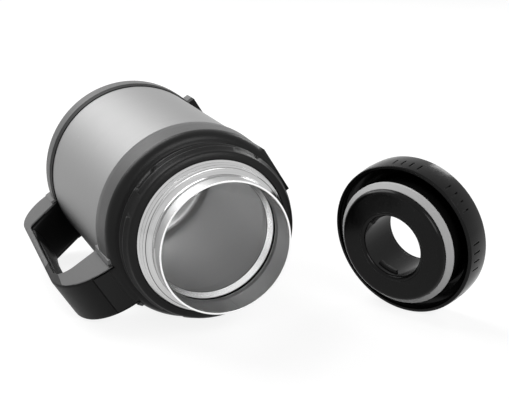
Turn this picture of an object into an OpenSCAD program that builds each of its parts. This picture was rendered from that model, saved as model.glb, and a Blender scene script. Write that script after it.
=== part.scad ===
// Insulated food jar lying on its side, with its ring stopper taken off and stood on edge beside it.
// Millimetres. The origin is the centre of the base's flat face. The jar's axis runs along Y with
// the mouth towards -Y, and +Z is up. The jar rests on its collar, its base cup and the handle's edge.

/* [Steel jar] */
// Length from the flat of the base to the lip
jar_length = 168; // [160:1:190]
// Outside diameter of the steel body
shell_d = 102; // [98:0.5:110]
// Thickness of the steel sheet
sheet = 0.4; // [0.3:0.05:0.6]
// Gap between the inner vessel and the outer shell
vacuum_gap = 4; // [3:0.5:5]
// Depth that the shell's two ends are rolled in to seat the collar and the cup
end_inset = 1.5; // [1:0.1:2]
// Height of the vessel's floor above the base's flat face
vessel_floor = 22; // [18:0.5:30]

/* [Neck] */
// How far the neck stands in from the rolled-in end of the steel body, where it leaves the collar
neck_step = 8.9; // [8.5:0.1:9.3]
// How far the neck draws in from there to the lip
neck_taper = 5.4; // [5:0.1:6.4]
// Length of the neck that stands out of the collar
neck_length = 18.8; // [17.8:0.2:22]
// How far the narrowest part of the mouth stands in from its wall
throat_step = 2.3; // [1.4:0.1:2.6]
// Depth of the throat below the lip
throat_depth = 23.6; // [22:0.2:27]

/* [Collar] */
// How far the collar's band, which the jar lies on, stands out from the steel body
band_stand = 1.1; // [0.9:0.1:2]
// Length of the band
band_length = 19.9; // [18:0.1:22]
// Height of the threaded shoulder above the band's front face
shoulder_height = 14.6; // [14:0.1:16]
// Thickness of the shoulder round the neck, between its threads
shoulder_wall = 4.6; // [3.9:0.1:5.4]
// How far the shoulder's threads stand out
thread_height = 1.4; // [0.8:0.1:1.8]
// Distance from one thread turn to the next
thread_pitch = 5.1; // [4.4:0.1:6.4]
// Length of each thread, in degrees
thread_sweep = 74; // [50:1:84]

/* [Base cup] */
// Height of the base cup
cup_height = 18.7; // [16:0.1:20.4]
// Thickness of the cup's floor
cup_floor = 3; // [2:0.1:4]
// Radius of the rounded bottom edge
cup_round = 7; // [4:0.5:9]
// Height of the bevel at the cup's top edge
cup_bevel = 4.8; // [2:0.1:5.5]

/* [Handle] */
// How far the handle's outer face stands out from the steel body
handle_depth = 28.2; // [26:0.1:33]
// Width of the handle at the collar
handle_w = 23.7; // [20:0.1:26]
// Width of the handle at the base
handle_base_w = 28.4; // [24:0.1:32]
// Thickness of the strap at its edges
strap_t = 3.7; // [3.4:0.1:5]
// How far the soft grip stands in from the strap
grip_crown = 1.6; // [1:0.1:3]
// Radius of the strap's edges
strap_edge = 1.3; // [0.8:0.1:1.6]
// Thickness of the plate that carries the handle on the collar
lug_t = 4.6; // [3.6:0.1:5.4]

/* [Stopper] */
// How far the stopper's crowned grip ring stands out past the root of the neck
ring_stand = 1.8; // [1.4:0.1:3.4]
// Height of the grip ring
ring_h = 17.3; // [17:0.1:22]
// How far the plug stands out of the grip ring
plug_depth = 10; // [9.4:0.1:12]
// Gap between the plug and the wall of the mouth, which the soft gasket closes
plug_gap = 1.1; // [0.9:0.1:1.4]
// Width of the plug's face, from its edge to the hole through the stopper
plug_width = 16; // [14:0.1:19]
// Number of grip marks round the ring
grip_sets = 8; // [4:1:10]
// Notches in each grip mark
grip_notches = 4; // [2:1:5]

/* [Arrangement] */
// Free space between the jar's band and the stopper beside it
stopper_gap = 5.8; // [3:0.1:40]
// Distance from the lip's plane back to the middle of the stopper's rim
stopper_y = 1.1; // [-20:0.1:20]
// How far the stopper is turned away from the jar's side
stopper_turn = 28.1; // [10:0.1:50]
// How far the stopper leans on its crowned ring
stopper_lean = 6; // [0:0.1:6.5]

/* [Hidden] */
$fn = 96;

// Clearance between two pieces that are fitted together
fit = 0.1;
// Overrun of every cut
over = 2;

// Radii of the steel body
shell_r = shell_d / 2;
seat_r = shell_r - end_inset;
vessel_r = shell_r - 2 * sheet - vacuum_gap;
root_r = seat_r - neck_step;
lip_r = root_r - neck_taper;
bore_r = lip_r - 2 * sheet - fit;
throat_r = bore_r - throat_step;
band_r = shell_r + band_stand;
shoulder_r = root_r + shoulder_wall;
handle_reach = shell_r + handle_depth;

// Stations along the jar's axis, from the flat of the base
collar_top = jar_length - neck_length;
band_top = collar_top - shoulder_height;
band_foot = band_top - band_length;
throat_z = jar_length - throat_depth;
inset_slope = end_inset;
inset_gap = 2;
plate_lift = 6;
weld_drop = 10.4;
cup_seat_top = cup_height - inset_gap - inset_slope;
collar_seat_foot = band_foot + inset_gap + inset_slope;
plate_z = cup_floor + plate_lift;
weld_z = band_top - weld_drop;

// Shell's shoulder under the collar
shoulder_cover_t = 2.4;
shoulder_round = 6;
root_fillet = 2;
shell_plateau = band_top - shoulder_cover_t;

// Vessel
vessel_corner = 5;
seam_angle = 45;
neck_vacuum_gap = 3.2;
shoulder_vacuum_gap = 4.6;
vessel_neck_r = root_r - sheet - neck_vacuum_gap - sheet;
vessel_round = 7.5;
vessel_fillet = 1.2;
vessel_plateau = shell_plateau - sheet - shoulder_vacuum_gap;
throat_flare = 3.6;
ledge_depth = 3.2;
groove_depth = 0.5;
groove_step = 1.6;
bead_height = 0.4;
bead_length = 4.2;
rim_t = sheet;

// Neck's rolled thread, from the collar upwards
thread_zone = 8;
ridge_in = 0.9;
lip_step = 1;

// Collar
band_taper = 0.5;
band_round = 5.6;
front_drop = 0.4;
shoulder_bevel = 1;
neck_gap = 0.4;
seal_section = 0.9;
seal_drop = 3.6;
tab_length = 12;
thread_root_w = 2.6;
thread_crest_w = 0.9;
thread_starts = 4;
thread_first = 4.4;
thread_twist = 21;
thread_lag = 18;

// Flats opposite the handle
flat_w = 27.4;
collar_flat = 1.9;
flat_head = 1.4;
cup_flat = 1.9;
cup_flat_foot = 6.7;

// Handle's outline in the plane of the jar's axis
arm_drop = 1.9;
upper_arm_t = 29.6;
reach_drop = 34.7;
arm_top = band_top - arm_drop;
reach_z = arm_top - reach_drop;
arm_inner_top = arm_top - upper_arm_t;
arm_start = seat_r - 2 * over;
base_arm_t = 18;
arm_rise = 7;
lower_outer_round = 21;
upper_outer_round = 33;
lower_inner_round = 3;
upper_inner_round = 10.5;
face_draw = 3.5;
strap_taper = 2.4;
lug_length = 9.1;
cup_lug_length = 0.5;
lug_reach = band_r + lug_length;
cup_lug_reach = band_r + cup_lug_length;
arc_steps = 10;
edge_steps = 4;

// Soft grip let into the strap
grip_margin = 2.6;
grip_pocket = 1.3;
grip_foot_gap = 5;
grip_head_gap = 8;
grip_foot = base_arm_t + arm_rise + grip_foot_gap;
grip_head = arm_inner_top - grip_head_gap;
grip_rings = 14;
grip_side = 0.5;
crown_steps = 10;

// Handle screws
screw_d = 3;
screw_head_d = 5.6;
screw_head_t = 1.2;
screw_length = 11;
screw_spread_share = 0.27;
upper_screw_z = (collar_seat_foot + arm_top - lug_t) / 2;
lower_screw_z = cup_seat_top * 0.6;

// Stopper, measured from the rim of its grip ring towards its top
channel_gap = 0.8;
top_wall = 1.4;
ring_r = root_r + ring_stand;
plug_r = bore_r - plug_gap;
gasket_r = bore_r - fit;
hole_r = plug_r - plug_width;
crown_round = 60;
crown_z = ring_h * 0.47;
skirt_t = 2.3;
skirt_depth = 6;
channel_r = lip_r + channel_gap;
channel_top = ring_h - top_wall;
plug_wall = 3;
cap_top = -2;
cover_t = 2.2;
cover_seat = 1.4;
sleeve_t = 1.6;
sleeve_flange = 0.6;
hole_round = 1.6;
plug_round = 2.4;
cap_t = 2;
gasket_top = -3.6;
gasket_lip = 1.3;
gasket_inner_drop = 2.3;
gasket_inset = 1.8;
ring_rib = 1;
ring_top_round = 2.4;
notch_w = 0.9;
notch_foot = 2.6;
notch_length = 5.4;
notch_depth = 0.7;
notch_pitch = 6.7;
mark_turn = 2;
sleeve_lugs = 3;
lug_sweep = 38;
lug_height = 1.2;
lug_w = 2.2;
lug_foot = -5.8;

// Angle that brings the handle's edge down to the surface that the collar lies on
rest_gap = 0.25;
rest_arm = handle_reach - strap_edge;
rest_half_w = (handle_w + (handle_base_w - handle_w) * 0.25) / 2 - strap_edge;
rest_drop = band_r - strap_edge - rest_gap;
lie_angle = asin(rest_drop / norm([rest_arm, rest_half_w])) - atan2(rest_half_w, rest_arm);

// Height of the stopper's rim centre above the surface, from the crown that it stands on
stopper_height = crown_round + (ring_r - crown_round) * cos(stopper_lean) - crown_z * sin(stopper_lean);
stopper_x = band_r + ring_r + stopper_gap;

// Points of a circular arc
function arc(centre, r, from, to, steps) =
    [for (i = [0:steps]) let (a = from + (to - from) * i / steps) centre + r * [cos(a), sin(a)]];

function unit(v) = v / norm(v);

function side_of(v) = [-v[1], v[0]];

// A line of points moved sideways by a distance, with mitred corners
function moved(p, t) = [for (i = [0:len(p) - 1])
    let (a = i == 0 ? unit(p[1] - p[0]) : unit(p[i] - p[i - 1]))
    let (b = i == len(p) - 1 ? a : unit(p[i + 1] - p[i]))
    let (n = unit(side_of(a) + side_of(b)))
    p[i] + n * t / (n * side_of(a))];

function reversed(p) = [for (i = [len(p) - 1:-1:0]) p[i]];

// Outline of a sheet of thickness t along a line of points
function sheet_outline(p, t) = concat(p, reversed(moved(p, t)));

// The arc that rounds the corner at b between a and c
function rounded(a, b, c, r, steps) =
    let (u = unit(a - b))
    let (v = unit(c - b))
    let (half = acos(u * v) / 2)
    let (start = b + u * r / tan(half))
    let (centre = b + unit(u + v) * r / sin(half))
    let (first = atan2(start[1] - centre[1], start[0] - centre[0]))
    let (turn = (u[0] * v[1] - u[1] * v[0] > 0 ? -1 : 1) * (180 - 2 * half))
    arc(centre, r, first, first + turn, steps);

module revolve(outline) {
    rotate_extrude() polygon(outline);
}

module lay_jar() {
    rotate([90, 0, 0])
        rotate([0, 0, 180 + lie_angle])
            children();
}

module stand_stopper() {
    translate([stopper_x, stopper_y - jar_length, stopper_height - band_r])
        rotate([0, 90 - stopper_lean, stopper_turn])
            children();
}

// Steel body

module outer_shell() {
    outside = [
        [seat_r, cup_floor],
        [seat_r, cup_seat_top],
        [shell_r, cup_seat_top + inset_slope],
        [shell_r, collar_seat_foot - inset_slope],
        [seat_r, collar_seat_foot],
        [seat_r, weld_z]
    ];
    color([0.72, 0.72, 0.73])
        lay_jar()
            revolve(sheet_outline(outside, sheet));
}

// Outside of the neck, from the collar's top edge to the lip
function neck_outline() =
    let (step_r = lip_r + lip_step)
    let (run = root_r - step_r)
    let (z = collar_top)
    [
        [root_r, z],
        [root_r - run * 0.22, z + thread_zone * 0.13],
        [root_r - run * 0.15, z + thread_zone * 0.28],
        [root_r - run * 0.4, z + thread_zone * 0.42],
        [root_r - run * 0.36, z + thread_zone * 0.56],
        [root_r - run * 0.62, z + thread_zone * 0.7],
        [step_r, z + thread_zone * 0.86],
        [lip_r + 0.25 * ridge_in, z + thread_zone],
        [lip_r, z + thread_zone + ridge_in],
        [lip_r, jar_length - rim_t]
    ];

module shell_shoulder() {
    outside = concat(
        [[seat_r, weld_z]],
        arc([seat_r - shoulder_round, shell_plateau - shoulder_round], shoulder_round, 0, 90, 6),
        arc([root_r + root_fillet, shell_plateau + root_fillet], root_fillet, 270, 180, 4),
        neck_outline()
    );
    color([0.78, 0.78, 0.79])
        lay_jar()
            revolve(sheet_outline(outside, sheet));
}

module shell_base_plate() {
    rim_r = seat_r - sheet;
    color([0.66, 0.66, 0.67])
        lay_jar()
            revolve([
                [0, plate_z - sheet],
                [rim_r - sheet, plate_z - sheet],
                [rim_r - sheet, cup_floor],
                [rim_r, cup_floor],
                [rim_r, plate_z],
                [0, plate_z]
            ]);
}

module vacuum_seal() {
    seal_r = 5;
    seal_t = 1.2;
    color([0.55, 0.55, 0.56])
        lay_jar()
            translate([0, 0, plate_z - sheet - seal_t])
                cylinder(r1 = seal_r - seal_t, r2 = seal_r, h = seal_t);
}

module getter() {
    getter_r = 7;
    getter_t = 2.5;
    place_r = getter_r * 3;
    color([0.4, 0.4, 0.42])
        lay_jar()
            translate([place_r, 0, plate_z])
                cylinder(r = getter_r, h = getter_t);
}

// Inside of the vessel's mouth, from the throat to the lip
function mouth_outline() =
    let (ledge_z = throat_z + ledge_depth)
    let (groove_z = ledge_z + groove_step)
    [
        [throat_r, throat_z],
        [throat_r, throat_z + 0.8 * groove_depth],
        [bore_r - groove_depth * 0.4, ledge_z],
        [bore_r + groove_depth * 0.6, groove_z - groove_depth],
        [bore_r + groove_depth * 0.6, groove_z + groove_depth],
        [bore_r - bead_height, groove_z + bead_length * 0.4],
        [bore_r - bead_height, groove_z + bead_length * 0.6],
        [bore_r, groove_z + bead_length]
    ];

module inner_vessel() {
    corner = [vessel_r - vessel_corner, vessel_floor + vessel_corner];
    inside = concat(
        arc(corner, vessel_corner, 360 - seam_angle, 360, 3),
        arc([vessel_r - vessel_round, vessel_plateau - vessel_round], vessel_round, 0, 90, 6),
        arc([vessel_neck_r + vessel_fillet, vessel_plateau + vessel_fillet], vessel_fillet, 270, 180, 4),
        [[vessel_neck_r, throat_z - throat_flare]],
        mouth_outline(),
        [[bore_r, jar_length]]
    );
    outside = reversed(moved(inside, -sheet));
    rim = [
        [lip_r, jar_length],
        [lip_r, jar_length - rim_t],
        [bore_r + sheet, jar_length - rim_t]
    ];
    color([0.7, 0.7, 0.71])
        lay_jar()
            revolve(concat(inside, rim, [for (i = [1:len(outside) - 1]) outside[i]]));
}

module vessel_bottom() {
    centre = [vessel_r - vessel_corner, vessel_floor + vessel_corner];
    inside = concat(
        [[0, vessel_floor]],
        arc(centre, vessel_corner, 270, 360 - seam_angle, 3)
    );
    color([0.6, 0.6, 0.61])
        lay_jar()
            revolve(sheet_outline(inside, -sheet));
}

module heat_shield() {
    foil = 0.2;
    foil_r = vessel_r + sheet + 3 * fit;
    foil_foot = vessel_floor + vessel_corner + over;
    color([0.75, 0.5, 0.35])
        lay_jar()
            rotate_extrude()
                translate([foil_r, foil_foot])
                    square([foil, vessel_plateau - vessel_round - over - foil_foot]);
}

// Base cup with its rounded foot, the flat opposite the handle and the handle's lower seat

module screw_bores(z, half_w) {
    for (side = [-1, 1])
        translate([0, side * screw_spread_share * 2 * half_w, z])
            rotate([0, 90, 0]) {
                cylinder(r = screw_d / 2 + fit, h = handle_reach);
                cylinder(r = screw_head_d / 2 + fit, h = seat_r + 2 * fit + screw_head_t);
            }
}

module base_cup() {
    inner_r = seat_r + fit;
    inner_top_r = shell_r + fit;
    slope_z = cup_seat_top + inset_slope;
    bevel_w = band_r - inner_top_r - sheet;
    outside = concat(
        [[0, 0]],
        arc([band_r - cup_round, cup_round], cup_round, 270, 360, 8),
        [
            [band_r, cup_height - cup_bevel],
            [band_r - bevel_w, cup_height],
            [0, cup_height]
        ]
    );
    hollow = [
        [0, cup_floor],
        [inner_r, cup_floor],
        [inner_r, cup_seat_top],
        [inner_top_r, slope_z],
        [inner_top_r, cup_height + over],
        [0, cup_height + over]
    ];
    color([0.2, 0.2, 0.21])
        lay_jar()
            difference() {
                union() {
                    revolve(outside);
                    translate([-band_r - cup_flat, -flat_w / 2, cup_flat_foot])
                        cube([band_r, flat_w, cup_height - cup_flat_foot]);
                    lower_seat();
                }
                revolve(hollow);
                screw_bores(lower_screw_z, handle_base_w / 2);
            }
}

// Block that carries the handle's lower arm on the cup's rounded foot
module lower_seat() {
    translate([0, -handle_base_w / 2, 0])
        cube([cup_lug_reach, handle_base_w, base_arm_t]);
}

// Collar with its band, interrupted threads, the handle's lug and the flat opposite it

module thread_segment(z, start) {
    half_root = thread_root_w / 2;
    half_crest = thread_crest_w / 2;
    buried = shoulder_r - thread_height;
    rotate([0, 0, start])
        translate([0, 0, z])
            rotate_extrude(angle = thread_sweep)
                polygon([
                    [buried, -half_root],
                    [shoulder_r, -half_root],
                    [shoulder_r + thread_height, -half_crest],
                    [shoulder_r + thread_height, half_crest],
                    [shoulder_r, half_root],
                    [buried, half_root]
                ]);
}

module collar() {
    front_r = band_r - band_taper - band_round;
    front_z = band_top - front_drop;
    outside = concat(
        [
            [0, band_foot],
            [band_r - fit, band_foot],
            [band_r, band_foot + 2 * fit]
        ],
        arc([front_r, front_z - band_round], band_round, 0, 90, 8),
        [
            [shoulder_r, band_top],
            [shoulder_r, collar_top - shoulder_bevel],
            [shoulder_r - shoulder_bevel, collar_top],
            [0, collar_top]
        ]
    );
    color([0.22, 0.22, 0.23])
        lay_jar()
            difference() {
                union() {
                    revolve(outside);
                    handle_tab();
                    translate([0, -handle_w / 2, arm_top - lug_t])
                        cube([lug_reach, handle_w, lug_t]);
                    translate([collar_flat - band_r, -flat_w / 2, band_foot])
                        cube([band_r, flat_w, band_length - flat_head]);
                    for (i = [0:thread_starts - 1]) {
                        start = i * 360 / thread_starts + thread_twist;
                        thread_segment(band_top + thread_first, start);
                        thread_segment(band_top + thread_first + thread_pitch, start + thread_lag);
                    }
                }
                revolve(collar_hollow());
                translate([collar_flat - band_r - shell_r, -flat_w / 2, band_foot - over])
                    cube([shell_r, flat_w, band_length + over]);
                screw_bores(upper_screw_z, handle_w / 2);
            }
}

// Inside of the collar, which follows the shell's seat, its shoulder and the neck
function collar_hollow() =
    let (inner_r = seat_r + fit)
    let (inner_foot_r = shell_r + fit)
    let (plateau = shell_plateau + fit)
    let (seal_z = collar_top - seal_drop)
    let (opening_r = root_r + neck_gap)
    let (seal_r = root_r + 2 * seal_section + fit)
    concat(
        [
            [0, band_foot - tab_length - over],
            [inner_foot_r, band_foot - tab_length - over],
            [inner_foot_r, collar_seat_foot - inset_slope - fit],
            [inner_r, collar_seat_foot]
        ],
        arc([seat_r - shoulder_round, shell_plateau - shoulder_round], shoulder_round + fit, 0, 90, 6),
        arc([opening_r + root_fillet, plateau + root_fillet], root_fillet, 270, 180, 4),
        [
            [opening_r, seal_z - seal_section - fit],
            [seal_r, seal_z - seal_section - fit],
            [seal_r, seal_z + seal_section + fit],
            [opening_r, seal_z + seal_section + fit],
            [opening_r, collar_top + over],
            [0, collar_top + over]
        ]
    );

// Tab of the collar that lies on the steel under the handle's upper arm
module handle_tab() {
    intersection() {
        rotate_extrude()
            translate([shell_r + fit, band_foot - tab_length])
                square([band_r - shell_r - fit, tab_length + 2 * fit]);
        translate([0, -handle_w / 2, band_foot - tab_length])
            cube([band_r + over, handle_w, tab_length + 2 * fit]);
    }
}

module collar_seal() {
    color([0.12, 0.12, 0.12])
        lay_jar()
            rotate_extrude()
                translate([root_r + seal_section + fit / 2, collar_top - seal_drop])
                    circle(r = seal_section, $fn = 32);
}

// Handle: a strap swept along the jar's side, with its outline in the plane of the axis

// Radius of the handle's outer face at a height, drawn in towards the base
function outer_face(z) = handle_reach - face_draw * (1 - z / reach_z);

function inner_face(z) = outer_face(z) - strap_t - strap_taper * (1 - z / reach_z);

// Half of the strap's width at a height
function half_width(z) = (handle_base_w + (handle_w - handle_base_w) * min(max(z / arm_top, 0), 1)) / 2;

function outer_points() =
    let (a = [arm_start, 0])
    let (b = [outer_face(0), 0])
    let (c = [outer_face(arm_top), arm_top])
    let (d = [arm_start, arm_top])
    concat(
        [a],
        rounded(a, b, c, lower_outer_round, arc_steps),
        rounded(b, c, d, upper_outer_round, arc_steps),
        [d]
    );

function inner_points() =
    let (a = [arm_start, base_arm_t - arm_rise * (shell_r - arm_start) / (handle_reach - shell_r)])
    let (b = [inner_face(base_arm_t + arm_rise), base_arm_t + arm_rise])
    let (c = [inner_face(arm_inner_top), arm_inner_top])
    let (d = [arm_start, arm_inner_top])
    concat(
        [a],
        rounded(a, b, c, lower_inner_round, arc_steps),
        rounded(b, c, d, upper_inner_round, arc_steps),
        [d]
    );

// Rounded rectangle across the strap, from its inner to its outer edge
function strap_ring(inner, outer) =
    let (half_t = norm(outer - inner) / 2)
    let (middle = (outer + inner) / 2)
    let (across = unit(outer - inner))
    let (half_w = half_width(middle[1]))
    let (r = min(strap_edge, half_t * 0.8))
    [for (corner = [0:3], i = [0:edge_steps])
        let (turn = corner * 90 + 90 * i / edge_steps)
        let (sx = corner == 0 || corner == 3 ? 1 : -1)
        let (sy = corner < 2 ? 1 : -1)
        let (u = sx * (half_t - r) + r * cos(turn))
        let (p = middle + across * u)
        [p[0], sy * (half_w - r) + r * sin(turn), p[1]]];

// Solid skin over rings that all have the same number of points
module skin(rings) {
    count = len(rings[0]);
    last = len(rings) - 1;
    points = [for (ring = rings, p = ring) p];
    sides = [for (k = [0:last - 1], i = [0:count - 1])
        let (j = (i + 1) % count)
        [k * count + i, k * count + j, (k + 1) * count + j, (k + 1) * count + i]];
    start = [for (i = [count - 1:-1:0]) i];
    end = [for (i = [0:count - 1]) last * count + i];
    polyhedron(points = points, faces = concat([start], sides, [end]), convexity = 6);
}

// Outline of the pocket for the soft grip, in the plane of the axis
function grip_outline(depth, margin) =
    let (foot = grip_foot - margin)
    let (head = grip_head + margin)
    [
        [inner_face(foot) - strap_t, foot],
        [inner_face(foot) + depth, foot],
        [inner_face(head) + depth, head],
        [inner_face(head) - strap_t, head]
    ];

module handle_shell() {
    outer = outer_points();
    inner = inner_points();
    rings = [for (k = [0:len(outer) - 1]) strap_ring(inner[k], outer[k])];
    pocket_w = handle_w - 2 * grip_margin + 2 * fit;
    color([0.24, 0.24, 0.25])
        lay_jar()
            difference() {
                skin(rings);
                translate([0, 0, -over])
                    cylinder(r = band_r + fit, h = jar_length);
                translate([0, -handle_base_w, -over])
                    cube([cup_lug_reach + fit, 2 * handle_base_w, base_arm_t + over]);
                translate([0, -handle_w, arm_top - lug_t - fit])
                    cube([lug_reach + fit, 2 * handle_w, lug_t + over]);
                translate([0, pocket_w / 2, 0])
                    rotate([90, 0, 0])
                        linear_extrude(height = pocket_w)
                            polygon(grip_outline(grip_pocket + fit, fit));
                screw_holes(upper_screw_z, handle_w / 2);
                screw_holes(lower_screw_z, handle_base_w / 2);
            }
}

module screw_holes(z, half_w) {
    for (side = [-1, 1])
        translate([0, side * screw_spread_share * 2 * half_w, z])
            rotate([0, 90, 0])
                cylinder(r = screw_d / 2 + fit / 2, h = seat_r + screw_head_t + screw_length + fit, $fn = 24);
}

// How much of its crown the grip has at a share of its length
function grip_swell(t) = let (least = 0.3) least + (1 - least) * (1 - pow(2 * t - 1, 2));

// Section of the soft grip: flat at the back and crowned towards the fingers
function grip_ring(z, swell) =
    let (half_w = handle_w / 2 - grip_margin)
    let (back = inner_face(z) + grip_pocket)
    let (edge = inner_face(z) - grip_side * swell)
    concat(
        [[back, -half_w, z], [back, half_w, z]],
        [for (i = [0:crown_steps])
            let (t = 1 - 2 * i / crown_steps)
            [edge - (grip_crown - grip_side) * swell * (1 - t * t), t * half_w, z]]
    );

module handle_grip() {
    rings = [for (k = [0:grip_rings])
        let (t = k / grip_rings)
        grip_ring(grip_foot + (grip_head - grip_foot) * t, grip_swell(t))];
    color([0.1, 0.1, 0.1])
        lay_jar()
            skin(rings);
}

module handle_screw() {
    rotate([0, 90, 0]) {
        translate([0, 0, seat_r + 2 * fit])
            cylinder(r = screw_head_d / 2, h = screw_head_t);
        translate([0, 0, seat_r + 2 * fit + screw_head_t])
            cylinder(r = screw_d / 2, h = screw_length - 2 * fit);
    }
}

module handle_screws() {
    color([0.6, 0.6, 0.6])
        lay_jar()
            for (side = [-1, 1]) {
                translate([0, side * screw_spread_share * handle_w, upper_screw_z])
                    handle_screw();
                translate([0, side * screw_spread_share * handle_base_w, lower_screw_z])
                    handle_screw();
            }
}

// Stopper

// Radius of the crowned grip ring at a height above its rim
function crown(z) = ring_r - crown_round + sqrt(crown_round * crown_round - (z - crown_z) * (z - crown_z));

module grip_marks() {
    for (mark = [0:grip_sets - 1], i = [0:grip_notches - 1])
        rotate([0, 0, mark_turn + mark * 360 / grip_sets + (i - (grip_notches - 1) / 2) * notch_pitch])
            translate([ring_r - notch_depth - fit, -notch_w / 2, notch_foot])
                cube([over, notch_w, notch_length]);
}

module stopper_ring() {
    rim = ring_rib / 2;
    top_z = ring_h - ring_top_round;
    outside = [for (i = [0:8]) let (z = rim + (top_z - rim) * i / 8) [crown(z), z]];
    skirt_r = ring_r - skirt_t;
    ring_seat_r = plug_r - cover_seat;
    body = concat(
        [[skirt_r, 0], [crown(0) - rim, 0]],
        outside,
        arc([crown(top_z) - ring_top_round, top_z], ring_top_round, 15, 90, 5),
        [
            [ring_seat_r, ring_h],
            [ring_seat_r, ring_h - cover_t],
            [plug_r - plug_wall, ring_h - cover_t],
            [plug_r - plug_wall, cap_top],
            [plug_r, cap_top],
            [plug_r, channel_top],
            [channel_r, channel_top],
            [channel_r, skirt_depth + ring_rib],
            [skirt_r - ring_rib, skirt_depth],
            [skirt_r, skirt_depth - ring_rib / 2],
            [skirt_r, skirt_depth / 2 + ring_rib],
            [skirt_r - ring_rib, skirt_depth / 2 + ring_rib / 4],
            [skirt_r - ring_rib, skirt_depth / 2 - ring_rib / 4],
            [skirt_r, skirt_depth / 2 - ring_rib]
        ]
    );
    color([0.08, 0.08, 0.08])
        stand_stopper()
            difference() {
                revolve(body);
                grip_marks();
            }
}

module stopper_cover() {
    cover_r = plug_r - cover_seat - fit;
    edge = cover_t / 4;
    color([0.1, 0.1, 0.1])
        stand_stopper()
            revolve([
                [hole_r, ring_h - cover_t],
                [cover_r, ring_h - cover_t],
                [cover_r, ring_h - edge],
                [cover_r - edge, ring_h],
                [hole_r + edge, ring_h],
                [hole_r, ring_h - edge]
            ]);
}

module stopper_plug() {
    face = -plug_depth;
    end_r = plug_r - gasket_inset;
    groove_r = end_r - gasket_inset / 4;
    groove_foot = gasket_top - gasket_lip - gasket_inner_drop;
    sleeve_r = hole_r + sleeve_t + fit;
    rim_r = sleeve_r + sleeve_flange;
    body = concat(
        [
            [plug_r, cap_top],
            [groove_r - cap_t, cap_top],
            [groove_r - cap_t, face + cap_t],
            [sleeve_r, face + cap_t],
            [sleeve_r, face + hole_round],
            [rim_r, face + hole_round / 2],
            [rim_r, face]
        ],
        arc([end_r - plug_round, face + plug_round], plug_round, 270, 360, 6),
        [
            [end_r, groove_foot],
            [groove_r, groove_foot],
            [groove_r, gasket_top],
            [plug_r, gasket_top]
        ]
    );
    color([0.05, 0.05, 0.05])
        stand_stopper()
            revolve(body);
}

module stopper_gasket() {
    end_r = plug_r - gasket_inset;
    groove_r = end_r - gasket_inset / 4;
    top = gasket_top - fit;
    bottom = gasket_top - gasket_lip - gasket_inner_drop + fit;
    color([0.72, 0.72, 0.72])
        stand_stopper()
            revolve([
                [groove_r + fit / 2, top],
                [gasket_r - fit, top],
                [gasket_r, top - fit],
                [gasket_r, top - gasket_lip],
                [end_r + fit, bottom],
                [groove_r + fit / 2, bottom]
            ]);
}

module hole_sleeve() {
    face = -plug_depth;
    outer_r = hole_r + sleeve_t;
    flange_r = outer_r + sleeve_flange;
    body = concat(
        [[hole_r, ring_h - cover_t]],
        arc([hole_r + hole_round, face + hole_round], hole_round, 180, 270, 5),
        [
            [flange_r, face],
            [flange_r, face + hole_round / 2],
            [outer_r, face + hole_round],
            [outer_r, ring_h - cover_t]
        ]
    );
    color([0.12, 0.12, 0.12])
        stand_stopper()
            union() {
                revolve(body);
                for (i = [0:sleeve_lugs - 1])
                    rotate([0, 0, i * 360 / sleeve_lugs])
                        rotate_extrude(angle = lug_sweep)
                            polygon([
                                [hole_r + sleeve_t / 2, lug_foot],
                                [hole_r - lug_height, lug_foot + lug_w / 4],
                                [hole_r - lug_height, lug_foot + lug_w],
                                [hole_r + sleeve_t / 2, lug_foot + lug_w]
                            ]);
            }
}

module stopper_foam() {
    outer_r = plug_r - gasket_inset * 1.25 - cap_t - fit;
    foot = cap_t - plug_depth + fit;
    color([0.9, 0.9, 0.9])
        stand_stopper()
            rotate_extrude()
                translate([hole_r + sleeve_t + fit, foot])
                    square([outer_r - hole_r - sleeve_t - fit, ring_h - cover_t - fit - foot]);
}

outer_shell();
shell_shoulder();
shell_base_plate();
vacuum_seal();
getter();
inner_vessel();
vessel_bottom();
heat_shield();
base_cup();
collar();
collar_seal();
handle_shell();
handle_grip();
handle_screws();
stopper_ring();
stopper_cover();
stopper_plug();
hole_sleeve();
stopper_gasket();
stopper_foam();
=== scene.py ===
"""Looks of the insulated food jar: finishes, small parts, light and camera.

The jar lies on its side with its mouth towards -Y. Its ring stopper stands on edge beside it.
Pieces are drawn in millimetres in the jar's own frame, with its axis along Z and its handle towards X.
The rest is in metres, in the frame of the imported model.
"""

import logging
import math
from dataclasses import dataclass
from enum import Enum
from typing import Callable, Iterable, Optional, Sequence

import bmesh
import bpy
from mathutils import Matrix, Vector


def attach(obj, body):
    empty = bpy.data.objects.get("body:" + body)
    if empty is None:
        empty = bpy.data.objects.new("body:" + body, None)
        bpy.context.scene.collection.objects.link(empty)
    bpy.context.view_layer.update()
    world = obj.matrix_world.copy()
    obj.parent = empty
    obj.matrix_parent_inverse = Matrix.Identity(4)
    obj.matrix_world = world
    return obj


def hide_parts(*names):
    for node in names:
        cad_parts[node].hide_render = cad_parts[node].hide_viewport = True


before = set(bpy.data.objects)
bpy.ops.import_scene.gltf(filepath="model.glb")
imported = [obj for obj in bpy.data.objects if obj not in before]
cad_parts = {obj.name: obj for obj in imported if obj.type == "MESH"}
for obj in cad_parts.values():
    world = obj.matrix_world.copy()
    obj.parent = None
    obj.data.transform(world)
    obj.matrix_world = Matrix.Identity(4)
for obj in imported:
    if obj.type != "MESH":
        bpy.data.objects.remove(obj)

log = logging.getLogger("food_jar")

MM = 0.001
JAR_BODY = "jar"
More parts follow.
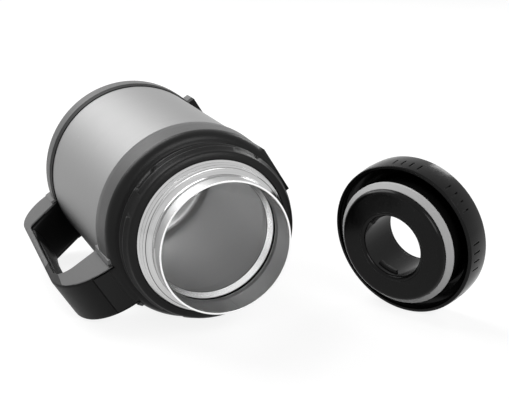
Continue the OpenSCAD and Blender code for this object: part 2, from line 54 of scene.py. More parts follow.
# The jar lies on its side and is turned about its axis until it rests on its collar and its handle.
HANDLE_TURN_DEG = 31.83
LYING = Matrix.Rotation(math.radians(90.0), 4, "X")
JAR_TURN = LYING @ Matrix.Rotation(math.radians(180.0 + HANDLE_TURN_DEG), 4, "Z")
JAR_MATRIX = JAR_TURN @ Matrix.Scale(MM, 4)
PHOTO_WIDTH_PX = 509
SENSOR_MM = 36.0
WELD_DISTANCE = 2e-6
SHARP_ANGLE = math.radians(38.0)
LEAST_SWELL = 0.02
WHITE = (1.0, 1.0, 1.0, 1.0)
VECTOR_SOCKETS = ("Vector", "Normal")

Triple = tuple[float, float, float]
Pair = tuple[float, float]
Face = tuple[int, ...]


class Slot(Enum):
    """Material slots of the record."""

    BODY_STEEL = "brushed_body"
    NECK_STEEL = "bright_neck"
    VESSEL_STEEL = "vessel_steel"
    PLAIN_STEEL = "plain_steel"
    GETTER = "getter_metal"
    FOIL = "foil"
    GREY_PLASTIC = "grey_plastic"
    SOFT_GRIP = "soft_grip"
    BLACK_RUBBER = "black_rubber"
    SCREWS = "screw_steel"
    BLACK_PLASTIC = "black_plastic"
    SILICONE = "pale_silicone"
    FOAM = "foam"


class Look(Enum):
    """Finishes of the pieces; each one belongs to a slot of the record."""

    BODY = "satin_body_steel"
    NECK = "bright_neck_steel"
    VESSEL = "satin_vessel_steel"
    BOTTOM = "satin_bottom_steel"
    MILL = "mill_steel"
    GETTER = "pressed_getter"
    FOIL = "bright_foil"
    COLLAR = "grey_collar_plastic"
    CUP = "grey_cup_plastic"
    STRAP = "grey_strap_side"
    STRAP_SHADE = "strap_face_painted_shade"
    TRIM = "saddle_plastic_painted_light"
    GRIP = "soft_black_grip"
    RUBBER = "black_seal_rubber"
    SCREWS = "plated_screws"
    BLACK = "glossy_black_plastic"
    SILICONE = "pale_silicone"
    FOAM = "pale_foam"


class Nodes:
    """Short way to lay out shader nodes in one tree."""

    def __init__(self, tree: bpy.types.NodeTree) -> None:
        """Takes the tree that the nodes go in."""
        self.tree = tree

    def add(self, kind: str, **settings: object) -> bpy.types.Node:
        """Adds a node.

        Args:
            kind: the node's type name.
            **settings: properties to set on it.

        Returns:
            The new node.
        """
        node = self.tree.nodes.new(kind)
        for name, value in settings.items():
            setattr(node, name, value)
        return node

    def put(self, node: bpy.types.Node, **values: object) -> bpy.types.Node:
        """Sets or links a node's inputs.

        Args:
            node: the node whose inputs are set.
            **values: input names, with underscores for spaces, and a number, a colour or a socket.

        Returns:
            The same node.
        """
        for name, value in values.items():
            self._feed(node.inputs[name.replace("_", " ")], value)
        return node

    def _feed(self, socket: bpy.types.NodeSocket, value: object) -> None:
        """Links a socket to an input, or sets the input to a number or a colour.

        Args:
            socket: the input.
            value: what it is fed.
        """
        if isinstance(value, bpy.types.NodeSocket):
            self.tree.links.new(value, socket)
        else:
            socket.default_value = value

    def math(self, operation: str, *values: object) -> bpy.types.NodeSocket:
        """Adds a Math node.

        Args:
            operation: the node's operation.
            *values: numbers or sockets for its inputs, in order.

        Returns:
            Its output.
        """
        node = self.add("ShaderNodeMath", operation=operation)
        for socket, value in zip(node.inputs, values):
            self._feed(socket, value)
        return node.outputs[0]

    def times(self, first: object, second: object) -> bpy.types.NodeSocket:
        """Gives the product of two values."""
        return self.math("MULTIPLY", first, second)

    def plus(self, first: object, second: object) -> bpy.types.NodeSocket:
        """Gives the sum of two values."""
        return self.math("ADD", first, second)

    def minus(self, first: object, second: object) -> bpy.types.NodeSocket:
        """Gives the difference of two values."""
        return self.math("SUBTRACT", first, second)

    def spread(
        self, value: object, low: float, high: float, to_low: float = 0.0, to_high: float = 1.0
    ) -> bpy.types.NodeSocket:
        """Maps a range of a value to another range, smoothly and clamped.

        Args:
            value: the socket to map.
            low: start of the range read.
            high: end of the range read.
            to_low: value given at the start.
            to_high: value given at the end.

        Returns:
            The mapped value.
        """
        node = self.add("ShaderNodeMapRange", interpolation_type="SMOOTHSTEP")
        self.put(node, Value=value, From_Min=low, From_Max=high, To_Min=to_low, To_Max=to_high)
        return node.outputs[0]

    def noise(
        self, vector: object, scale: object, detail: float = 3.0, rough: float = 0.55
    ) -> bpy.types.NodeSocket:
        """Adds a noise texture.

        Args:
            vector: the place that it is read at.
            scale: its scale.
            detail: its detail.
            rough: its roughness.

        Returns:
            Its value.
        """
        node = self.add("ShaderNodeTexNoise")
        self.put(node, Vector=vector, Scale=scale, Detail=detail, Roughness=rough)
        return node.outputs["Fac"]

    def mix(self, share: object, first: object, second: object) -> bpy.types.NodeSocket:
        """Adds a colour mix.

        Args:
            share: share of the second colour.
            first: the first colour.
            second: the second colour.

        Returns:
            The mixed colour.
        """
        node = self.add("ShaderNodeMix", data_type="RGBA")
        for index, value in ((0, share), (6, first), (7, second)):
            self._feed(node.inputs[index], value)
        return node.outputs[2]

    def parts(self, vector: object) -> Sequence[bpy.types.NodeSocket]:
        """Gives a vector's X, Y and Z."""
        return self.put(self.add("ShaderNodeSeparateXYZ"), Vector=vector).outputs

    def effect(self, group: bpy.types.NodeTree, **values: object) -> Sequence[bpy.types.NodeSocket]:
        """Places a shared effect, feeds its inputs and gives its outputs."""
        return self.put(self.add("ShaderNodeGroup", node_tree=group), **values).outputs


def fresh_nodes(owner: bpy.types.ID) -> Nodes:
    """Gives a material or a world an empty node tree.

    Args:
        owner: the material or the world.

    Returns:
        A helper for the tree's nodes.
    """
    owner.use_nodes = True
    owner.node_tree.nodes.clear()
    return Nodes(owner.node_tree)


def new_group(
    name: str, inputs: dict[str, Optional[float]], outputs: Sequence[str]
) -> tuple[Nodes, Sequence[bpy.types.NodeSocket], bpy.types.Node]:
    """Makes a shader node group with named sockets.

    Args:
        name: the group's name.
        inputs: name and default of each input, None for a vector.
        outputs: name of each output.

    Returns:
        A helper for the group's nodes, the inputs as they are given inside it and its output node.
    """
    group = bpy.data.node_groups.new(name, "ShaderNodeTree")
    for direction, labels in (("INPUT", inputs), ("OUTPUT", outputs)):
        for label in labels:
            kind = "NodeSocketVector" if label in VECTOR_SOCKETS else "NodeSocketFloat"
            socket = group.interface.new_socket(name=label, in_out=direction, socket_type=kind)
            if direction == "INPUT" and inputs[label] is not None:
                socket.default_value = inputs[label]
    nodes = Nodes(group)
    return nodes, nodes.add("NodeGroupInput").outputs, nodes.add("NodeGroupOutput")


GRAIN_SPREAD = (0.35, 0.65)
COARSE_SCALE = 160.0
COARSE_SHARE = 0.6
SMUDGE_SCALE = 38.0
SMUDGE_SPREAD = (0.42, 0.72)
DUST_SCALE = 900.0
DUST_SPREAD = (0.66, 0.78)
TURN_SCALE = 0.9
BAND_SCALE = 0.12
EDGE_SPREAD = (0.99, 0.8)


class Effects:
    """Shader effects that several finishes share, each built once."""

    def __init__(self) -> None:
        """Builds every effect."""
        self.grain = self._grain()
        self.handling = self._handling()
        self.brushing = self._brushing()
        self.edges = self._edges()
        self.zone = self._zone()
        self.shade = self._shade()

    def _grain(self) -> bpy.types.NodeTree:
        """Builds the fine moulded grain of plastic and rubber.

        Returns:
            The effect's group.
        """
        nodes, given, leave = new_group(
            "moulded_grain", {"Vector": None, "Size": 2200.0, "Depth": 0.4}, ("Height", "Speckle")
        )
        place = given["Vector"]
        fine = nodes.noise(place, given["Size"], 2.0)
        coarse = nodes.noise(place, COARSE_SCALE, 3.0)
        speckle = nodes.spread(fine, *GRAIN_SPREAD)
        height = nodes.times(nodes.plus(speckle, nodes.times(coarse, COARSE_SHARE)), given["Depth"])
        nodes.put(leave, Height=height, Speckle=nodes.times(speckle, coarse))
        return nodes.tree

    def _handling(self) -> bpy.types.NodeTree:
        """Builds the faint marks that hands and cloths leave.

        Returns:
            The effect's group.
        """
        inputs = {"Vector": None, "Amount": 0.5}
        nodes, given, leave = new_group("handling_marks", inputs, ("Smudge", "Dust"))
        place, amount = given["Vector"], given["Amount"]
        smudge = nodes.spread(nodes.noise(place, SMUDGE_SCALE, 4.0, 0.6), *SMUDGE_SPREAD)
        dust = nodes.times(nodes.spread(nodes.noise(place, DUST_SCALE, 2.0, 0.5), *DUST_SPREAD), smudge)
        nodes.put(leave, Smudge=nodes.times(smudge, amount), Dust=nodes.times(dust, amount))
        return nodes.tree

    def _brushing(self) -> bpy.types.NodeTree:
        """Builds the fine lines that run round a turned or brushed piece.

        Returns:
            The effect's group.
        """
        nodes, given, leave = new_group(
            "brushed_lines", {"Vector": None, "Density": 2600.0, "Depth": 0.5}, ("Height", "Streak")
        )
        x, y, z = nodes.parts(given["Vector"])
        density = given["Density"]
        radius = nodes.math("POWER", nodes.plus(nodes.times(x, x), nodes.times(y, y)), 0.5)
        turned = nodes.times(nodes.math("ARCTAN2", y, x), TURN_SCALE)
        place = nodes.add("ShaderNodeCombineXYZ")
        nodes.put(place, X=turned, Y=nodes.times(z, density), Z=nodes.times(radius, density))
        lines = nodes.noise(place.outputs[0], 1.0, 4.0, 0.7)
        wide = nodes.add("ShaderNodeVectorMath", operation="SCALE")
        nodes.put(wide, Vector=place.outputs[0], Scale=BAND_SCALE)
        bands = nodes.noise(wide.outputs[0], 1.0, 2.0, 0.5)
        streak = nodes.times(nodes.plus(lines, bands), 0.5)
        nodes.put(leave, Height=nodes.times(lines, given["Depth"]), Streak=streak)
        return nodes.tree

    def _edges(self) -> bpy.types.NodeTree:
        """Builds the rounded normal of an edge and a mask of where the edge is.

        Returns:
            The effect's group.
        """
        nodes, given, leave = new_group("soft_edges", {"Radius": 0.0005}, ("Normal", "Edge"))
        bevel = nodes.put(nodes.add("ShaderNodeBevel", samples=4), Radius=given["Radius"]).outputs[0]
        dot = nodes.put(nodes.add("ShaderNodeVectorMath", operation="DOT_PRODUCT"), Vector=bevel)
        nodes.tree.links.new(nodes.add("ShaderNodeNewGeometry").outputs["Normal"], dot.inputs[1])
        nodes.put(leave, Normal=bevel, Edge=nodes.spread(dot.outputs["Value"], *EDGE_SPREAD))
        return nodes.tree

    def _zone(self) -> bpy.types.NodeTree:
        """Builds the mask of a stretch along a round piece's axis.

        Returns:
            The effect's group.
        """
        nodes, given, leave = new_group(
            "axis_zone", {"Vector": None, "Low": 0.0, "High": 1.0, "Soft": 0.0002}, ("Mask",)
        )
        height, soft = nodes.parts(given["Vector"])[2], given["Soft"]
        above = nodes.math("DIVIDE", nodes.minus(height, given["Low"]), soft)
        below = nodes.math("DIVIDE", nodes.minus(given["High"], height), soft)
        inside = nodes.math("MINIMUM", above, below)
        inside.node.use_clamp = True
        nodes.put(leave, Mask=inside)
        return nodes.tree

    def _shade(self) -> bpy.types.NodeTree:
        """Builds the mask of a stretch of angles round a piece's axis, which fades in from both sides.

        Returns:
            The effect's group.
        """
        nodes, given, leave = new_group(
            "side_shade", {"Vector": None, "Centre": 0.0, "Full": 0.1, "Fade": 0.4}, ("Mask",)
        )
        x, y, _ = nodes.parts(given["Vector"])
        away = nodes.math("ABSOLUTE", nodes.minus(nodes.math("ARCTAN2", y, x), given["Centre"]))
        past = nodes.math("DIVIDE", nodes.minus(away, given["Full"]), given["Fade"])
        nodes.put(leave, Mask=nodes.spread(past, 0.0, 1.0, 1.0, 0.0))
        return nodes.tree


SMUDGE_ROUGHNESS = 0.14
SPECKLE_ROUGHNESS = 0.08
STREAK_TONE = 1.5
DARK_GAIN = 0.82
PALE_GAIN = 1.35
PALE_LIFT = 0.06
# How dark the painted reflection of a dark neighbour is, as a share of the colour.
SHADE_DEPTH = 0.05
# Edges in a zone are paler, from wear and a painted highlight.
ZONE_EDGE_GAIN = 3.0
ZONE_EDGE_LIFT = 0.05
BUMP_DISTANCE = 0.00012
BUMP_STRENGTH = 0.55


@dataclass(frozen=True)
class Shade:
    """A stretch of angles round the axis where a dark reflection of a neighbour is painted.

    Attributes:
        centre_deg: its middle angle.
        full_deg: half of the stretch that is fully dark.
        fade_deg: angle over which it fades on each side.
        share: how far the colour falls there.
    """

    centre_deg: float
    full_deg: float
    fade_deg: float
    share: float


@dataclass(frozen=True)
class Zone:
    """A stretch along a round piece's axis with a tone of its own.

    Attributes:
        low_mm: where it starts on the axis.
        high_mm: where it ends.
        colour: its base colour, linear.
        roughness: its roughness.
        soft_mm: length over which it fades in.
    """

    low_mm: float
    high_mm: float
    colour: Triple
    roughness: float
    soft_mm: float


@dataclass(frozen=True)
class Finish:
    """A finish with the effects that it uses.

    Attributes:
        slot: its slot in the record.
        colour: base colour, linear.
        metallic: 1 for bare metal.
        roughness: roughness between its marks.
        specular: specular level.
        grain_size: density of the moulded grain, or 0 for none.
        grain_depth: strength of the grain's bump.
        brushed: whether fine lines run round the axis.
        brush_depth: strength of the brushing's bump.
        edge_radius: radius of softened edges, in metres.
        edge_light: how much paler edges are, from wear and a painted highlight.
        marks: amount of handling marks.
        streak: how far brushing changes the colour and roughness; the colour change is brushing's own tone
            and, on the bright neck, painted reflection streaks.
        zones: stretches with tones of their own.
        shade: side of the piece where a dark reflection of a neighbour is painted, if any.
    """

    slot: Slot
    colour: Triple
    metallic: float
    roughness: float
    specular: float = 0.5
    grain_size: float = 0.0
    grain_depth: float = 0.0
    brushed: bool = False
    brush_depth: float = 0.0
    edge_radius: float = 0.0004
    edge_light: float = 0.0
    marks: float = 0.3
    streak: float = 0.0
    zones: tuple[Zone, ...] = ()
    shade: Optional[Shade] = None

    def build(self, name: str, effects: Effects) -> bpy.types.Material:
        """Makes the material.

        Args:
            name: the material's name.
            effects: the shared effects.

        Returns:
            The new material.
        """
        material = bpy.data.materials.new(name)
        nodes = fresh_nodes(material)
        shader = nodes.add("ShaderNodeBsdfPrincipled")
        nodes.put(nodes.add("ShaderNodeOutputMaterial"), Surface=shader.outputs[0])
        nodes.put(shader, Metallic=self.metallic, Specular_IOR_Level=self.specular)
        place = nodes.add("ShaderNodeTexCoord").outputs["Object"]
        own = self._own_place(nodes, place)
        marks = nodes.effect(effects.handling, Vector=place, Amount=self.marks)
        rough = nodes.plus(nodes.times(marks["Smudge"], SMUDGE_ROUGHNESS), self.roughness)
        tone = marks["Dust"]
        height: Optional[bpy.types.NodeSocket] = None
        if self.grain_size:
            grain = nodes.effect(effects.grain, Vector=place, Size=self.grain_size, Depth=self.grain_depth)
            height = grain["Height"]
            rough = nodes.plus(rough, nodes.times(grain["Speckle"], SPECKLE_ROUGHNESS))
        if self.brushed:
            lines = nodes.effect(effects.brushing, Vector=own, Depth=self.brush_depth)
            height = lines["Height"]
            shift = nodes.times(nodes.minus(lines["Streak"], 0.5), self.streak)
            rough = nodes.plus(rough, shift)
            # The streaks change the colour too: brushing's own tone, and on the bright neck painted
            # reflection streaks.
            tone = nodes.plus(tone, nodes.times(shift, STREAK_TONE))
        edges = nodes.effect(effects.edges, Radius=self.edge_radius)
        # Paler edges: wear, and a painted highlight on crests.
        crest = nodes.times(edges["Edge"], self.edge_light)
        colour = self._tint(nodes, nodes.plus(tone, crest))
        # Painted reflection: the side that faces a dark neighbour is darkened.
        if self.shade:
            colour = self._shaded(nodes, effects, own, colour)
        for zone in self.zones:
            low, high, soft = zone.low_mm * MM, zone.high_mm * MM, zone.soft_mm * MM
            mask = nodes.effect(effects.zone, Vector=own, Low=low, High=high, Soft=soft)["Mask"]
            # The zone's edges get a paler colour: wear, and a painted highlight.
            worn_and_lit = tuple(min(1.0, c * ZONE_EDGE_GAIN + ZONE_EDGE_LIFT) for c in zone.colour)
            deep = nodes.mix(crest, (*zone.colour, 1.0), (*worn_and_lit, 1.0))
            colour = nodes.mix(mask, colour, deep)
            rough = nodes.plus(rough, nodes.times(mask, nodes.minus(zone.roughness, rough)))
        normal = edges["Normal"]
        if height is not None:
            bump = nodes.put(nodes.add("ShaderNodeBump"), Distance=BUMP_DISTANCE, Strength=BUMP_STRENGTH)
            normal = nodes.put(bump, Height=height, Normal=normal).outputs[0]
        nodes.put(shader, Base_Color=colour, Roughness=rough, Normal=normal)
        return material

    def _tint(self, nodes: Nodes, tone: bpy.types.NodeSocket) -> bpy.types.NodeSocket:
        """Spreads the finish's colour from a darker to a paler tone.

        Args:
            nodes: the material's nodes.
            tone: how pale it is, about 0.

        Returns:
            The colour.
        """
        tint = nodes.put(nodes.add("ShaderNodeValToRGB"), Fac=nodes.spread(tone, -0.5, 0.5))
        stops = tint.color_ramp.elements
        stops[0].color = (*(c * DARK_GAIN for c in self.colour), 1.0)
        stops[1].color = (*(min(1.0, c * PALE_GAIN + PALE_LIFT) for c in self.colour), 1.0)
        stops.new(0.5).color = (*self.colour, 1.0)
        return tint.outputs[0]

    def _shaded(
        self, nodes: Nodes, effects: Effects, own: bpy.types.NodeSocket, colour: bpy.types.NodeSocket
    ) -> bpy.types.NodeSocket:
        """Paints a dark reflection of a neighbour on one side.

        Args:
            nodes: the material's nodes.
            effects: the shared effects.
            own: the place in the jar's own frame.
            colour: the colour so far.

        Returns:
            The darkened colour.
        """
        shade = self.shade
        centre, full, fade = (math.radians(a) for a in (shade.centre_deg, shade.full_deg, shade.fade_deg))
        side = nodes.effect(effects.shade, Vector=own, Centre=centre, Full=full, Fade=fade)
        amount = nodes.times(side["Mask"], shade.share)
        return nodes.mix(amount, colour, (*(c * SHADE_DEPTH for c in self.colour), 1.0))

    @staticmethod
    def _own_place(nodes: Nodes, place: bpy.types.NodeSocket) -> bpy.types.NodeSocket:
        """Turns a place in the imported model's frame into the jar's own frame, in metres."""
        mapping = nodes.add("ShaderNodeMapping", vector_type="TEXTURE")
        return nodes.put(mapping, Vector=place, Rotation=JAR_TURN.to_euler()).outputs[0]


def grey(level: float) -> Triple:
    """Gives a neutral linear colour."""
    return (level, level, level)


def moulded(level: float, roughness: float, specular: float, **changes: object) -> Finish:
    """Gives the finish of a grey plastic moulding, with the finish's further fields as changes."""
    grain = {"grain_size": 3200.0, "grain_depth": 0.25}
    return Finish(Slot.GREY_PLASTIC, grey(level), 0.0, roughness, specular, **grain, marks=0.2, **changes)


def turned(slot: Slot, level: float, roughness: float, **changes: object) -> Finish:
    """Gives the finish of bare steel with fine lines round the axis."""
    return Finish(slot, grey(level), 1.0, roughness, brushed=True, **changes)


# Painted shade: the collar's front, above 128.9 mm, gets a near-black copy of its grey plastic.
FRONT_SHADE_ZONE = Zone(128.9, 200.0, grey(0.013), 0.28, 0.2)
# Painted shade: a near-black ring on the base cup's top edge, between its lit rim and the steel.
CUP_SHADE_ZONE = Zone(14.4, 19.4, grey(0.002), 0.6, 0.2)
# Painted shade: near-black steel in the mouth's groove.
GROOVE_SHADE_ZONE = Zone(147.9, 149.5, grey(0.012), 0.5, 0.12)
# Painted highlight: a paler steel ring on the throat's ledge.
THROAT_HIGHLIGHT_ZONE = Zone(144.95, 147.9, grey(0.95), 0.22, 0.1)
# Painted highlight: a paler steel on the bead and the mouth wall above the groove.
BEAD_HIGHLIGHT_ZONE = Zone(149.5, 170.0, grey(0.95), 0.24, 0.1)
# Painted dark reflections: thin dark lines beside the neck's rolled beads.
NECK_REFLECTION_LINES = tuple(Zone(z, z + 0.4, grey(0.08), 0.3, 0.1) for z in (151.0, 154.5, 157.2, 160.2))
LIP_ZONE = Zone(160.4, 170.0, grey(0.5), 0.45, 0.5)
# Painted shade: a thin dark line at the ledge's edge.
LEDGE_SHADE_ZONE = Zone(144.2, 144.95, grey(0.03), 0.5, 0.1)
VESSEL_LINES = {"brush_depth": 0.04, "streak": 0.03, "marks": 0.2, "edge_radius": 0.0002}
SOFT_RIM = {"edge_radius": 0.0006, "edge_light": 0.10}

FINISHES: dict[Look, Finish] = {
    # The body's shade is a painted dark reflection of the handle on the steel beside it.
    Look.BODY: turned(
        Slot.BODY_STEEL, 0.26, 0.58, brush_depth=0.35, streak=0.08, marks=0.12, edge_radius=0.0003,
        shade=Shade(14.0, 14.0, 27.0, 0.93),
    ),
    # The neck's strong streak paints reflection streaks into its colour.
    Look.NECK: turned(
        Slot.NECK_STEEL, 0.52, 0.15, brush_depth=0.25, streak=0.45, marks=0.1, edge_radius=0.0002,
        zones=(LIP_ZONE, *NECK_REFLECTION_LINES),
    ),
    Look.VESSEL: turned(
        Slot.VESSEL_STEEL, 0.74, 0.4, zones=(LEDGE_SHADE_ZONE, THROAT_HIGHLIGHT_ZONE, GROOVE_SHADE_ZONE, BEAD_HIGHLIGHT_ZONE), **VESSEL_LINES
    ),
    Look.BOTTOM: turned(Slot.VESSEL_STEEL, 0.74, 0.4, **VESSEL_LINES),
    Look.MILL: Finish(Slot.PLAIN_STEEL, grey(0.5), 1.0, 0.4, grain_size=1500.0, grain_depth=0.3),
    Look.GETTER: Finish(Slot.GETTER, grey(0.25), 1.0, 0.6, grain_size=3000.0, grain_depth=0.8),
    Look.FOIL: Finish(Slot.FOIL, (0.85, 0.6, 0.45), 1.0, 0.2, grain_size=700.0, grain_depth=0.6),
    # The collar's front zone is painted shade; its edge_light paints highlights on the thread crests.
    Look.COLLAR: moulded(0.125, 0.42, 0.15, edge_light=0.3, zones=(FRONT_SHADE_ZONE,)),
    Look.CUP: moulded(0.15, 0.42, 0.2, zones=(CUP_SHADE_ZONE,), **SOFT_RIM),
    Look.STRAP: moulded(0.115, 0.42, 0.2, **SOFT_RIM),
    # Painted shade: a near-black copy of the strap's grey plastic for its inner and outer faces.
    Look.STRAP_SHADE: moulded(0.005, 0.45, 0.12, **SOFT_RIM),
    # Painted light: the saddle's plastic is paler than the collar's, so that its strip shows lit.
    Look.TRIM: moulded(0.19, 0.35, 0.3, edge_radius=0.0003, edge_light=0.10),
    Look.GRIP: Finish(
        Slot.SOFT_GRIP, grey(0.012), 0.0, 0.62, 0.3, 2600.0, 0.5,
        edge_radius=0.0005, edge_light=0.06, marks=0.2,
    ),
    Look.RUBBER: Finish(Slot.BLACK_RUBBER, grey(0.02), 0.0, 0.6, 0.3, 2200.0, 0.3),
    Look.SCREWS: Finish(Slot.SCREWS, grey(0.6), 1.0, 0.28, grain_size=1200.0, grain_depth=0.2),
    Look.BLACK: Finish(
        Slot.BLACK_PLASTIC, grey(0.004), 0.0, 0.16, 0.14, 500.0, 0.03,
        edge_radius=0.0005, edge_light=0.03, marks=0.12,
    ),
    Look.SILICONE: Finish(Slot.SILICONE, grey(0.66), 0.0, 0.5, 0.2, 1800.0, 0.15, marks=0.15),
    Look.FOAM: Finish(Slot.FOAM, (0.78, 0.76, 0.68), 0.0, 0.9, 0.2, 900.0, 1.0),
}


def placed(name: str, data: bpy.types.ID) -> bpy.types.Object:
    """Puts a mesh, a lamp or a camera in the scene.

    Args:
        name: the object's name.
        data: what it shows.

    Returns:
        The new object.
    """
    thing = bpy.data.objects.new(name, data)
    bpy.context.scene.collection.objects.link(thing)
    return thing


def jar_mesh(name: str, points: Iterable[Triple], faces: Iterable[Face]) -> bpy.types.Mesh:
    """Makes a mesh from points in the jar's own millimetres.

    Args:
        name: the mesh's name.
        points: its corners.
        faces: its faces, as indices of corners.

    Returns:
        The new mesh.
    """
    mesh = bpy.data.meshes.new(name)
    mesh.from_pydata([JAR_MATRIX @ Vector(point) for point in points], [], list(faces))
    return mesh


class Workshop:
    """Builds the finishes and turns lists of points into pieces."""

    def __init__(self) -> None:
        """Builds every finish."""
        effects = Effects()
        self.materials = {look: finish.build(look.value, effects) for look, finish in FINISHES.items()}

    def dress(self, **looks: Look) -> None:
        """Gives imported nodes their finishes.

        Args:
            **looks: the finish of each node, by the node's name.
        """
        for node, look in looks.items():
            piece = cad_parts[node]
            if not piece.material_slots:
                piece.data.materials.append(None)
            for place in piece.material_slots:
                place.material = self.materials[look]
            log.info("%s dressed as %s", node, look.value)

    def piece(
        self, name: str, points: Iterable[Triple], faces: Iterable[Face], look: Look
    ) -> bpy.types.Object:
        """Makes a piece of the jar from points in the jar's own millimetres.

        Args:
            name: the piece's name.
            points: its corners.
            faces: its faces, as indices of corners.
            look: its finish.

        Returns:
            The new object.
        """
        mesh = jar_mesh(name, points, faces)
        mesh.validate()
        mesh.shade_smooth()
        mesh.set_sharp_from_angle(angle=SHARP_ANGLE)
        mesh.materials.append(self.materials[look])
        thing = placed(name, mesh)
        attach(thing, JAR_BODY)
        log.info("%s built with %d faces", name, len(mesh.polygons))
        return thing


def join_corners(mesh: bpy.types.Mesh) -> None:
    """Joins a mesh's coincident corners, so that it can be cut.

    Args:
        mesh: the mesh.
    """
    work = bmesh.new()
    work.from_mesh(mesh)
    bmesh.ops.remove_doubles(work, verts=work.verts, dist=WELD_DISTANCE)
    bmesh.ops.dissolve_degenerate(work, edges=work.edges, dist=WELD_DISTANCE / 2)
    bmesh.ops.recalc_face_normals(work, faces=work.faces)
    work.to_mesh(mesh)
    work.free()


def cut_away(thing: bpy.types.Object, points: Iterable[Triple], faces: Iterable[Face]) -> None:
    """Cuts a solid out of a piece for good.

    Args:
        thing: the piece.
        points: the cutter's corners, in the jar's own millimetres.
        faces: the cutter's faces.
    """
    cutter = placed("cutter", jar_mesh("cutter", points, faces))
    cut = thing.modifiers.new("cut", "BOOLEAN")
    cut.object, cut.operation, cut.solver = cutter, "DIFFERENCE", "EXACT"
    cut.use_self = True
    bpy.context.view_layer.update()
    shaped = bpy.data.meshes.new_from_object(thing.evaluated_get(bpy.context.evaluated_depsgraph_get()))
    thing.modifiers.clear()
    thing.data = shaped
    bpy.data.objects.remove(cutter)
    shaped.set_sharp_from_angle(angle=SHARP_ANGLE)


def prism(outline: Sequence[Pair], half: float) -> tuple[list[Triple], list[Face]]:
    """Draws an outline of distance and height out to both sides of the handle's middle plane.

    Args:
        outline: distance from the axis and height of each corner.
        half: half of the prism's width.

    Returns:
        Points and faces.
    """
    count = len(outline)
    area = sum(a[0] * b[1] - b[0] * a[1] for a, b in zip(outline, (*outline[1:], outline[0])))
    if area < 0:
        outline = list(reversed(outline))
    points = [(x, w, z) for w in (-half, half) for x, z in outline]
    faces: list[Face] = [tuple(range(count)), tuple(range(2 * count - 1, count - 1, -1))]
    faces += [(i, i + count, (i + 1) % count + count, (i + 1) % count) for i in range(count)]
    return points, faces


def tube_faces(rings: int, count: int) -> list[Face]:
    """Gives the faces of a closed tube whose points lie ring after ring.

    Args:
        rings: number of rings.
        count: number of points in each ring.

    Returns:
        Its sides, its first end and its last end.
    """
    faces: list[Face] = []
    for low in range(0, (rings - 1) * count, count):
        high = low + count
        for i in range(count):
            j = (i + 1) % count
            faces.append((low + i, low + j, high + j, high + i))
    last = (rings - 1) * count
    return [*faces, tuple(range(count - 1, -1, -1)), tuple(range(last, last + count))]


def ring_point(radius: float, angle_deg: float, height: float) -> Triple:
    """Gives a point on a circle round a piece's own axis."""
    angle = math.radians(angle_deg)
    return (radius * math.cos(angle), radius * math.sin(angle), height)


def swept_bead(
    path: Callable[[float], Triple], section: Sequence[Pair], steps: int, taper: float
) -> tuple[list[Triple], list[Face]]:
    """Sweeps a small section along a path round the axis.

    Args:
        path: gives radius, angle and height at a share of the path's length.
        section: outline of the bead as steps outwards and along the axis.
        steps: number of stretches.
        taper: share of each end over which the bead dies away.

    Returns:
        Points and faces.
    """
    points: list[Triple] = []
    for k in range(steps + 1):
        share = k / steps
        radius, angle, height = path(share)
        swell = min(1.0, share / taper, (1.0 - share) / taper)
        swell = max(LEAST_SWELL, math.sin(swell * math.pi / 2))
        for out, along in section:
            points.append(ring_point(radius + out * swell, angle, height + along * swell))
    return points, tube_faces(steps + 1, len(section))


def half_round(width: float, height: float, sink: float, steps: int = 6) -> list[Pair]:
    """Gives the section of a rounded bead that is sunk a little into what carries it.

    Args:
        width: its width.
        height: how far it stands up.
        sink: how far it is sunk.
        steps: number of stretches of its arc.

    Returns:
        The section, as steps outwards and along the axis.
    """
    angles = [math.pi * i / steps for i in range(steps + 1)]
    arc = [(height * math.sin(angle), width / 2 * math.cos(angle)) for angle in angles]
    return [(-sink, width / 2)] + arc + [(-sink, -width / 2)]


@dataclass(frozen=True)
class NeckTurn:
    """A turn of the thread that is rolled into the neck.

    Attributes:
        radius: its radius at its start.
        start_deg: the angle where it starts.
        sweep_deg: the angle that it covers.
        height: its height at its start.
        rise: how far it rises.
        draw: how far it comes in.
    """

    radius: float
    start_deg: float
    sweep_deg: float
    height: float
    rise: float
    draw: float

    def place(self, share: float) -> Triple:
        """Gives radius, angle and height at a share of the turn."""
        radius, angle = self.radius - self.draw * share, self.start_deg + self.sweep_deg * share
        return (radius, angle, self.height + self.rise * share)


